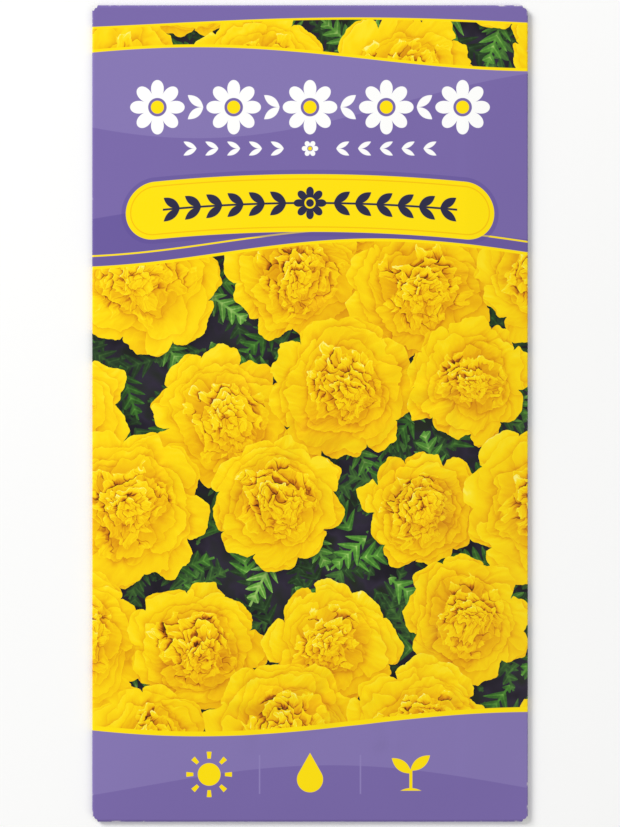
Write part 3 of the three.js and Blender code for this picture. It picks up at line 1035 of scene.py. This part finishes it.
def bloom_tone(own, mark):
    """How light a place of a bloom is: that of its petals, with the crest laid over them."""
    bloom, spot, edge, shade = bloom_petals(own, mark)
    tone = petal_tone(spot, edge, shade, bloom["outward"], bloom["sideways"])[0]
    for finest, reach, seed in CREST:
        tone = lay_crest(own, mark, finest, reach, seed, tone)[0]
    return tone + (mark - 0.5) * 0.06


print(f"petal inks: {len(PETAL_INKS)}")

# %% [markdown]
# ## Printing: leaves under the blooms
#
# Between the blooms the print shows dark ground with cut leaves on it. They could be placed one by one,
# as the blooms are, but they are many and mostly hidden. So each cell of a Voronoi texture holds one
# leaf, turned its own way. A leaf is a midrib with leaflets slanting off it, which a repeating sum along
# it gives.


# %% Leaves
LEAFLET_PACE, LEAFLET_SLANT = 2.1, 0.40
MIDRIB = 0.22  # half its width


@as_group({"place": "Vector"} | floats("scale", "reach"), floats("tone", "leaf"))
def leaf_layer(place, scale, reach):
    """A layer of feathered leaves: how light each place of a leaf is, and where there is one."""
    settings = {"voronoi_dimensions": "2D"}
    found = place.make("ShaderNodeTexVoronoi", settings, {"Vector": place, "Scale": scale}, "Position")
    draw = found.other("Color").make("ShaderNodeSeparateColor", None, {0: found.other("Color")})
    x, y = (place - found).xy()
    heading = draw * math.tau
    cos, sin = cosine(heading), sine(heading)
    along, aside = x * cos + y * sin, abs(y * cos - x * sin)
    share = along / reach
    width = largest(1 - share * share, 0.001) * reach * 0.55
    leaflet = abs((along / LEAFLET_PACE - aside * LEAFLET_SLANT).maths("FRACT") - 0.5)
    blunt = 1 - clamped(aside / width) ** 2.2
    inside = largest(leaflet - blunt * 0.40, abs(share) - 1) < 0
    stalk = ((aside - MIDRIB) < 0) * (abs(share) < 1)
    rib = fading(leaflet - 0.02, 0.06) * 0.30 + fading(aside - 0.1, 0.3) * 0.25
    tone = draw.other(1) * 0.60 + rib + (noise(place, 1.3, 2.0) - 0.5) * 0.6 + 0.08
    return tone, largest(inside, stalk)


DEEP_SHADE = ink("#0E0C14")
GROUND = [(0.35, "#1F1A24"), (0.5, "#322B3C"), (0.65, "#232A1C")]
FAR_LEAF = [(0.0, "#1A2612"), (0.5, "#32522A"), (1.0, "#578A3A")]
NEAR_LEAF = [(0.0, "#26441C"), (0.4, "#457F2C"), (0.75, "#6CAE40"), (1.0, "#AEDB72")]
# The spacing and the reach of the leaves in each layer, and their inks
LEAF_LAYERS = [(7.5, 4.0, FAR_LEAF), (8.5, 5.0, FAR_LEAF), (8.5, 5.3, NEAR_LEAF)]


def leafy_ground(place):
    """Dark ground with the layers of leaves on it."""
    colour = inked(noise(place, 0.16, 2.0), *GROUND)
    for number, (spacing, reach, inks) in enumerate(LEAF_LAYERS):
        tone, leaf = leaf_layer(place + (37.0 * number, 11.0 * number, 0.0), 1 / spacing, reach)
        colour = paint(colour, inked(tone, *inks), leaf)
    return colour


# %% The whole field of flowers
def flower_field(place):
    """The printed picture: blooms over leaves, with each edge a little ruffled."""
    slow = pushes(place, place + (50.0, 0.0, 0.0), 0.085, 1.0)
    quick = pushes(place, place + (0.0, 50.0, 0.0), 0.45, 2.0)
    own, mark, covered, shade = bloom_field(place + slow.scaled(6.0) + quick.scaled(1.4))
    tone = bloom_tone(own, mark) * (shade * 0.55 + 0.45)
    shaded = paint(DEEP_SHADE, leafy_ground(place), shade)
    return paint(shaded, inked(tone, *PETAL_INKS), covered)


print(f"{len(LEAF_LAYERS)} layers of leaves under {len(blooms)} blooms")


# %% [markdown]
# ## Printing: bands, ribbon and ornament
#
# Purple bands frame the picture. The upper one carries a row of traditional rosettes, and a yellow ribbon
# with a row of leaves. On paper these are flat inks with clean edges. Cut faces could draw them, but the
# edges stay cleaner where every mark is a distance to its edge, turned into a mask, and painted over what
# lies below it.

# %% Inks of the bands
PURPLE, DEEP_PURPLE, LILAC = ink("#7867A7"), ink("#5E4E95"), ink("#8D7FB8")
YELLOW, GOLD, WHITE = ink("#FFE100"), ink("#F6C400"), ink("#FDFDFB")
NAVY, CREAM, SAGE = ink("#2B2A45"), ink("#F8F3E2"), ink("#7DA35F")
SOFT = 0.09  # how far the edge of a printed mark fades, in millimetres
print(f"the edge of a printed mark fades over {SOFT} mm")


def within(distance):
    """1 where a distance to an edge is below 0, fading over the soft edge of an ink."""
    return clamped(0.5 - distance / SOFT)


def wave(x, height, swing, pace, start):
    """A height that swings gently across the packet."""
    return sine(x.maths("MULTIPLY_ADD", pace, start)).maths("MULTIPLY_ADD", swing, height)


def disc(x, y, radius):
    """The distance to the edge of a disc, below 0 inside it."""
    return point(x, y).length() - radius


def lens(x, y, length, width):
    """Distance-like measure of a leaf shape along x: pointed at both ends."""
    share = clamped(abs(x) / length)
    return abs(y) - (1 - share * share) * width + (abs(x) > length) * 9.0


def turned(x, y, degrees):
    """A place in coordinates that are turned by so many degrees."""
    c, s = math.cos(math.radians(degrees)), math.sin(math.radians(degrees))
    return x * c + y * s, y * c - x * s


# %% Rosettes and leaves of the ornament
ROSETTE_PACE, SMALL_LEAF_PACE = 14.0, 4.0
ALONE = 90.0  # so wide a pace that one rosette shows
RING, HEART = 0.34, 0.24  # of a rosette's radius


def rosettes(below, x, y, count, pace, rosette):
    """A row of rosettes, `pace` apart."""
    radius, petals, inks = rosette
    at = (x + pace / 2) % pace - pace / 2
    far = point(at, y).length()
    lobes = abs(cosine(y.maths("ARCTAN2", at) * (petals / 2))) ** 0.55
    shape = far - (lobes * 0.52 + 0.48) * radius
    row = within(abs(x) - count * pace / 2 + SOFT)
    for colour, edge in zip(inks, (shape, far - radius * RING, far - radius * HEART)):
        below = paint(below, colour, within(edge) * row)
    return below


def leaf_pairs(below, x, y, span, pace, leaf):
    """Pairs of leaves, `pace` apart, over a span of paces from the middle of a line to both sides."""
    length, width, slant, colour = leaf
    first, last = span[0] * pace, span[1] * pace
    at = abs(x) % pace - pace / 2
    mask = within(abs(abs(x) - (last + first) / 2) - (last - first) / 2)
    pair = []
    for side in (1, -1):
        centre = side * length * math.sin(math.radians(slant))
        pair.append(within(lens(*turned(at, y - centre, side * slant), length, width)))
    return paint(below, colour, largest(*pair) * mask)


# %% The header's bands
# Each line across the header is a wave: its height, its swing, its pace and its start
HEADER_LINES = {
    "low": (29.5, 2.6, 0.055, 0.9),
    "high": (65.0, 2.2, 0.050, 2.6),
    "strip": (71.6, 1.1, 0.045, 1.2),
    "light": (57.0, 6.5, 0.042, -0.7),
    "dark": (35.0, 3.5, 0.050, 2.2),
}
EDGE_LINE, STRIP_LINE, THIN_LINE = 0.55, 0.4, 0.32
THIN_LINE_UP = 1.9  # from the band's lower edge to the thin line over it


def header_bands(below, x, y):
    """A purple band with a lighter and a darker sweep, thin yellow lines, and a strip along the top."""
    line = {name: wave(x, *shape) for name, shape in HEADER_LINES.items()}
    band = largest(line["low"] - y, y - line["high"])
    below = paint(below, YELLOW, within(band - EDGE_LINE))
    below = paint(below, PURPLE, within(band))
    below = paint(below, LILAC, within(largest(band, line["light"] - y)) * 0.55)
    below = paint(below, DEEP_PURPLE, within(largest(band, y - line["dark"])) * 0.6)
    below = paint(below, YELLOW, within(abs(y - line["low"] - THIN_LINE_UP) - THIN_LINE / 2))
    below = paint(below, YELLOW, within(line["strip"] - y - STRIP_LINE))
    return paint(below, PURPLE, within(line["strip"] - y))


print(f"{len(HEADER_LINES)} waves cross the header")

# %% The ribbon
RIBBON_MIDDLE, RIBBON_HALF, RIBBON_RADIUS = 38.6, 28.5, 5.3
RIBBON_ARCH = 0.0017  # how far it drops, times the square of the way from its middle
RIBBON_SHADE = 0.8
INNER_LINE, INNER_LINE_IN = 0.22, 0.9
STEM, STEM_REACH = 0.38, 27.0
RIBBON_LEAF_PACE = 3.9
RIBBON_LEAF = (1.85, 0.76, 36, NAVY)  # length, half width, slant in degrees, and ink
INSET = (3.0, 8, (NAVY, YELLOW, NAVY))  # radius, petals, and inks of petals, ring and heart


def ribbon(below, x, y):
    """A yellow ribbon, bent a little, with a shade round it, a thin inner line and a row of leaves."""
    bent = y + x * x * RIBBON_ARCH - RIBBON_MIDDLE
    edge = point(largest(abs(x) - RIBBON_HALF, 0), bent).length() - RIBBON_RADIUS
    below = paint(below, DEEP_PURPLE, within(edge - RIBBON_SHADE) * 0.5)
    below = paint(below, YELLOW, within(edge))
    below = paint(below, GOLD, within(abs(edge + INNER_LINE_IN) - INNER_LINE / 2))
    below = paint(below, NAVY, within(abs(bent) - STEM / 2) * within(abs(x) - STEM_REACH))
    below = leaf_pairs(below, x, bent, (1, 7), RIBBON_LEAF_PACE, RIBBON_LEAF)
    return rosettes(below, x, bent, 1, ALONE, INSET)


print(f"the ribbon is {2 * (RIBBON_HALF + RIBBON_RADIUS):.1f} mm long")

# %% The header
ROSETTE_ROW, LEAF_ROW = 56.2, 48.6
DAISY = (5.0, 8, (WHITE, PURPLE, YELLOW))
SMALL_DAISY = (1.5, 6, (WHITE, PURPLE, YELLOW))
BROAD_LEAF, SMALL_LEAF = (1.8, 0.75, 38, WHITE), (1.35, 0.45, 28, WHITE)
print(f"ornament stands {ROSETTE_ROW} and {LEAF_ROW} mm above the middle")


def header(below, x, y):
    """The bands with two rows of ornament on them, and the ribbon."""
    below = header_bands(below, x, y)
    below = rosettes(below, x, y - ROSETTE_ROW, 5, ROSETTE_PACE, DAISY)
    below = leaf_pairs(below, x, y - ROSETTE_ROW, (0, 2), ROSETTE_PACE, BROAD_LEAF)
    below = leaf_pairs(below, x, y - LEAF_ROW, (1, 6), SMALL_LEAF_PACE, SMALL_LEAF)
    below = rosettes(below, x, y - LEAF_ROW, 1, ALONE, SMALL_DAISY)
    return ribbon(below, x, y)


# %% Little pictures for the footer
def sun(x, y):
    """A disc with eight rays."""
    radius, ray_start, ray_end = 2.1, 2.9, 4.2
    far = point(x, y).length()
    rays = abs(sine(y.maths("ARCTAN2", x) * 4)) - 0.42
    return smallest(far - radius, largest(largest(ray_start - far, far - ray_end), rays * 1.6))


def drop(x, y):
    """A round drop: a disc, and the two lines that touch it and meet above it."""
    radius, height, middle = 2.4, 4.9, -0.9
    tilt = math.asin(radius / height)
    sides = abs(x) * math.cos(tilt) + (y - middle - height) * math.sin(tilt)
    return smallest(disc(x, y - middle, radius), largest(sides, middle + radius * math.sin(tilt) - y))


def sprout(x, y):
    """A young plant: two leaves on a stem that stands in a low mound."""
    leaf = 2.3, 0.95
    stem = largest(abs(x) - 0.28, abs(y + 1.1) - 1.9)
    right = lens(*turned(x - 1.7, y - 2.1, 38), *leaf)
    left = lens(*turned(x + 1.7, y - 1.6, 142), *leaf)
    mound = largest(disc(x, y + 6.4, 3.9), -3.0 - y)
    return smallest(smallest(stem, smallest(left, right)), mound)


PICTURES = sun, drop, sprout
PICTURES_HEIGHT, PICTURES_PACE = -66.2, 18.5
print(f"{len(PICTURES)} little pictures, {PICTURES_PACE} mm apart")

# %% The footer
FOOTER_EDGE, FOOTER_SWEEP = (-57.0, 2.2, 0.052, -0.5), (-68.5, 4.0, 0.045, 1.4)
FOOTER_LINE = 0.9
RULE_BETWEEN, RULE_BETWEEN_HALF = 0.28, 3.6


def footer(below, x, y):
    """A purple band with a lighter sweep, and three little pictures with thin rules between them."""
    band = y - wave(x, *FOOTER_EDGE)
    below = paint(below, YELLOW, within(band - FOOTER_LINE))
    below = paint(below, PURPLE, within(band))
    below = paint(below, LILAC, within(largest(band, wave(x, *FOOTER_SWEEP) - y)) * 0.55)
    at = y - PICTURES_HEIGHT
    for number, picture in enumerate(PICTURES):
        below = paint(below, YELLOW, within(picture(x - (number - 1) * PICTURES_PACE, at)))
    beside = abs(abs(x) - PICTURES_PACE / 2) - RULE_BETWEEN / 2
    return paint(below, LILAC, within(beside) * within(abs(at) - RULE_BETWEEN_HALF))


# %% [markdown]
# ## Printing: the back and the flaps
#
# The back of such a packet holds the sowing calendar. Here it is a cream panel in a purple frame, with
# two rows of twelve plain squares, some of them green or yellow as for the months of sowing and
# flowering, and blank rules. A remainder turns one square into a row of them, and one rule into six.

# %% The back's panel
OFF_CENTRE = 0.3  # the back panel stops short at one side, so the middle of its picture moves a little
BACK_MIDDLE = -(BACK_FOLD_X + math.pi * BACK_FOLD_RADIUS) / MM - (BACK_FOLD_X / MM - OFF_CENTRE)
PANEL_MIDDLE, PANEL_LINE = -2.0, 0.7
PANEL = {"half_width": 33.0, "half_height": 51.0, "radius": 3.0}
BACK_ROSETTE_ROW, BACK_LEAF_ROW = 32.0, 22.0
BACK_DAISY = (4.4, 8, (YELLOW, CREAM, GOLD))
BACK_LEAF, SMALL_BACK_LEAF = (1.8, 0.7, 35, SAGE), (1.3, 0.42, 22, PURPLE)
print(f"the back's picture lies {-BACK_MIDDLE:.1f} mm to the left of the front's")


def rounded_box(x, y, half_width, half_height, radius):
    """The distance to the edge of a box with round corners."""
    over = point(largest(abs(x) - half_width + radius, 0), largest(abs(y) - half_height + radius, 0))
    return over.length() - radius


def back_panel(below, x, y):
    """The cream panel with a thin frame, a row of rosettes and a row of leaves."""
    panel = rounded_box(x, y - PANEL_MIDDLE, **PANEL)
    below = paint(below, YELLOW, within(panel - PANEL_LINE))
    below = paint(below, CREAM, within(panel))
    below = rosettes(below, x, y - BACK_ROSETTE_ROW, 3, ROSETTE_PACE, BACK_DAISY)
    below = leaf_pairs(below, x, y - BACK_ROSETTE_ROW, (0, 1), ROSETTE_PACE, BACK_LEAF)
    return leaf_pairs(below, x, y - BACK_LEAF_ROW, (0, 6), SMALL_LEAF_PACE, SMALL_BACK_LEAF)


# %% The calendar, and the whole back
MONTH_PACE, MONTHS = 4.9, 12
SQUARE = {"half_width": 2.05, "half_height": 2.05, "radius": 0.4}
MONTH_ROWS = [(10.0, -3, -1, SAGE), (3.6, 0, 3, GOLD)]  # height, and first and last coloured square
RULE_PACE, RULES_MIDDLE, RULES = 6.0, -25.0, 6
RULE_START, RULE_LENGTH, RULE_WIDTH = -2.0, 57.0, 0.18
FLAP_LINE_AT, FLAP_LINE_WIDTH = 87.0, 0.4
print(f"a row of months is {MONTHS * MONTH_PACE:.1f} mm long")


def calendar(below, x, y):
    """Two rows of squares, one for each month, and blank rules under them."""
    month = (x / MONTH_PACE).maths("FLOOR")
    in_row = within(abs(x) - MONTHS / 2 * MONTH_PACE)
    for height, first, last, colour in MONTH_ROWS:
        square = rounded_box(x % MONTH_PACE - MONTH_PACE / 2, y - height, **SQUARE)
        chosen = ((month - first + 0.5) > 0) * ((last + 0.5 - month) > 0)
        tint = paint(LILAC, colour, chosen)
        below = paint(below, tint, within(square) * in_row * (chosen * 0.65 + 0.3))
    rule = abs((y - RULE_START) % RULE_PACE - RULE_PACE / 2) - RULE_WIDTH / 2
    ruled = within(abs(x) - RULE_LENGTH / 2) * within(abs(y - RULES_MIDDLE) - RULES * RULE_PACE / 2)
    return paint(below, LILAC, within(rule) * ruled)


def back_print(x, y):
    """The back's picture, for places measured from its own middle."""
    below = paint(PURPLE, DEEP_PURPLE, ramp(y, -60.0, 60.0) * 0.6)
    return calendar(back_panel(below, x, y), x, y)


def flap_print(y):
    """Plain purple with one thin yellow line along the flap's edge."""
    return paint(PURPLE, YELLOW, within(abs(abs(y) - FLAP_LINE_AT) - FLAP_LINE_WIDTH / 2))


# %% [markdown]
# ## The printed paper
#
# Packet paper is thin and coated. Its varnish gives a soft gloss, a little rougher where it has rubbed.
# Ink cracks along a fold and lets white show, most of all near the corners. One function makes both
# printed papers, which differ only in their picture. The inside and the cut edges are bare, so they get a
# dull material of their own.


# %% Wear along the folds
SIDE_CRACKS, END_CRACKS = 0.38, 0.32  # how far round a fold its ink cracks, as a share of the arc
WEAR_WIDTH = 0.30
CORNER_REACH = 16.0
WORN_INK = ink("#EFECE4")


def fold_wear(u, v, place):
    """Where the ink has cracked off: in short stretches along the folds."""
    side_arc, end_arc = math.pi * BACK_FOLD_RADIUS / MM, math.pi * END_FOLD_RADIUS / MM
    side_gap = abs(abs(u) - BACK_FOLD_X / MM - side_arc * SIDE_CRACKS)
    end_gap = abs(abs(v) - END_FOLD_Y / MM - end_arc * END_CRACKS)
    to_corner = point(abs(u) - packet.x / 2, abs(v) - packet.y / 2).length()
    corner = ramp(to_corner, 0.0, CORNER_REACH, 0.16, 0.0)
    patchy = noise(place, 0.55, 4.0) + corner
    line = smallest(side_gap, end_gap)
    return ramp(line, 0.0, WEAR_WIDTH, 1.0, 0.0) * ramp(patchy, 0.66, 0.76)


# %% Printed paper and bare paper
TAB_BLEED = 2.6


def front_print(place, u, v):
    """The flowers, with the header and the footer over them."""
    return footer(header(flower_field(place), u, v), u, v)


def rest_print(_, u, v):
    """The back, the two flaps, and the glue tab, which is white past a narrow bleed."""
    colour = back_print(u - BACK_MIDDLE, v)
    colour = paint(colour, flap_print(v), within(END_FOLD_Y / MM - abs(v)))
    return paint(colour, WHITE, within(TAB_FOLD_X / MM + TAB_BLEED - u))


def coated_paper(name, picture):
    """Coated paper with a picture printed on it, worn along its folds."""
    material, bench = new_material(name)
    u, v = bench.make("ShaderNodeUVMap", {"uv_map": "sheet"}).xy()
    place = point(u, v, 0.0)
    colour = paint(picture(place, u, v), WORN_INK, fold_wear(u, v, place) * 0.8)
    grain = noise(place, 4.0, 3.0)
    rubbed = noise(place, 0.06, 3.0)
    finish_material(bench, {
        "Base Color": colour,
        "Roughness": ramp(rubbed + grain * 0.15, 0.35, 0.8, 0.27, 0.40),
        "Normal": bumped(grain, 0.10, 0.01),
        "Specular IOR Level": 0.2,
    })
    return material


def bare_paper():
    """Uncoated white paper with a fibrous surface."""
    material, bench = new_material("bare_paper")
    place = place_on(bench)
    fibres = noise(place, 1400.0, 4.0, distortion=0.6)
    clouds = noise(place, 260.0, 2.0)
    colour = inked(fibres * 0.6 + clouds * 0.4, (0.25, "#E0DCD0"), (0.75, "#F7F5EF"))
    finish_material(bench, {"Base Color": colour, "Roughness": 0.85, "Normal": bumped(fibres, 0.3, 0.02)})
    return material


# %% [markdown]
# ## The envelope
#
# The fold is run on the blank, and a Solidify modifier gives the sheet its thickness, the same on both
# sides of the middle. Whoever bakes the print onto an image needs a map of the sheet. An automatic one
# would cut it into many patches. The sheet is one flat piece, so here it is fitted to the image whole,
# which keeps the print sharp. The bare side has the same places, so it goes into a corner, made small.

# %% A map for baking
BARE_SCALE = 0.1
BAKE_MARGIN = 0.004


def add_bake_map(mesh, bare_index):
    """Fits the sheet to a square image, with the bare side small in the corner above the back panel."""
    places = np.empty(len(mesh.loops) * 2)
    mesh.uv_layers["sheet"].data.foreach_get("uv", places)
    places = places.reshape(-1, 2)
    low, high = places.min(0), places.max(0)
    spots = (places - low) / (high - low).max() * (1 - 2 * BAKE_MARGIN) + BAKE_MARGIN
    loop_counts, face_finishes = np.empty((2, len(mesh.polygons)), int)
    mesh.polygons.foreach_get("loop_total", loop_counts)
    mesh.polygons.foreach_get("material_index", face_finishes)
    is_bare = np.repeat(face_finishes == bare_index, loop_counts)
    corner = BAKE_MARGIN, 1 - BAKE_MARGIN - BARE_SCALE
    spots[is_bare] = spots[is_bare] * BARE_SCALE + corner
    print(f"{is_bare.mean():.0%} of the map's points are bare paper, and go into the corner")
    mesh.uv_layers.new(name="OFBake", do_init=False).data.foreach_set("uv", spots.ravel())


# %% The finished envelope
front, rest = coated_paper("printed_front", front_print), coated_paper("printed_back_and_flaps", rest_print)
finishes = [front, rest, bare_paper()]
BARE = len(finishes) - 1
print(f"the front's print has {len(front.node_tree.nodes)} nodes, the rest's {len(rest.node_tree.nodes)}")
for finish in finishes:
    blank.data.materials.append(finish)
end_tree(folded, front, (rest, named(flat_sheet, "outside_front")))

body = blank.modifiers.new("paper_thickness", "SOLIDIFY")
body.thickness, body.offset, body.use_even_offset = PAPER, 0.0, True
body.material_offset = body.material_offset_rim = BARE
envelope_mesh = run_tree(blank, fold_tree, FOLD_SIZES)
envelope_mesh.set_sharp_from_angle(angle=math.radians(55))
add_bake_map(envelope_mesh, BARE)
bpy.data.objects.remove(blank)
new_piece("folded_envelope", envelope_mesh, "printed_paper", "paper_envelope")

# %% [markdown]
# ## Dried glue
#
# The three glue strips are in the frame already, and their shape is right, so they keep it and only get
# a finish. Dried paper glue is a cream film with the ripples that the roller left.


# %% Glue
def dried_glue():
    material, bench = new_material("dried_glue")
    place = place_on(bench)
    ripple = noise(place, 420.0, 3.0, distortion=1.2)
    finish_material(bench, {
        "Base Color": inked(ripple, (0.3, "#D8CBA4"), (0.7, "#F3ECD6")),
        "Roughness": ramp(ripple, 0.3, 0.7, 0.3, 0.5),
        "Normal": bumped(ripple, 0.5, 0.05),
    })
    return material


glue = dried_glue()
for name in ("side_seam_glue", "bottom_flap_glue", "top_flap_glue"):
    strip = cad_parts[name]
    strip.data.materials.clear()
    strip.data.materials.append(glue)
print("three strips of glue")

# %% [markdown]
# ## Floor and light
#
# The packet lies on a plain pale table. One wide soft lamp stands to the upper left, as in a studio, and
# an even pale surrounding fills the shadows. The view transform is the plain one, so that printed inks
# keep their hue.


# %% Floor
def pale_table():
    material, bench = new_material("pale_table")
    place = place_on(bench)
    colour = inked(noise(place, 6.0, 2.0), (0.3, "#FAFAF9"), (0.7, "#FDFDFC"))
    finish_material(bench, {"Base Color": colour, "Roughness": 0.9})
    return material


TABLE_REACH = 3.0
corners = [(x * TABLE_REACH, y * TABLE_REACH, 0) for x, y in ((-1, -1), (1, -1), (1, 1), (-1, 1))]
table_mesh = bpy.data.meshes.new("table")
table_mesh.from_pydata(corners, [], [(0, 1, 2, 3)])
table_mesh.materials.append(pale_table())
table = add_object("table", table_mesh)
table.location.z = cad_low.z
table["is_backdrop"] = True
print(f"the table reaches {TABLE_REACH:.0f} m to each side")


# %% Light
def soft_lamp(name, place, size, watts):
    """A square lamp at this place, facing the packet."""
    lamp = add_object(name, bpy.data.lights.new(name, "AREA"))
    lamp.data.size, lamp.data.energy = size, watts
    lamp.location = place
    lamp.rotation_euler = lamp.location.to_track_quat("Z", "Y").to_euler()


soft_lamp("window_light", (-0.80, 0.70, 0.70), 0.6, 13.5)
soft_lamp("fill_light", (0.9, -0.5, 1.0), 1.0, 4.2)
world = bpy.data.worlds.new("studio")
world.use_nodes = True
background = world.node_tree.nodes["Background"].inputs
background["Color"].default_value = (1.0, 1.0, 1.0, 1.0)
background["Strength"].default_value = 0.437
bpy.context.scene.world = world
bpy.context.scene.view_settings.view_transform = "Standard"
print("two lamps and a pale surrounding")

# %% [markdown]
# ## Sizes
#
# The folds are sized from the solids' box. The dressed packet has to keep the size of the solids.
# Both boxes are printed, the solids' one at the start.

# %% Sizes and the end
low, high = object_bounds()
dressed = (high - low) / MM
print(f"dressed: {dressed.x:.2f} x {dressed.y:.2f} x {dressed.z:.2f} mm")
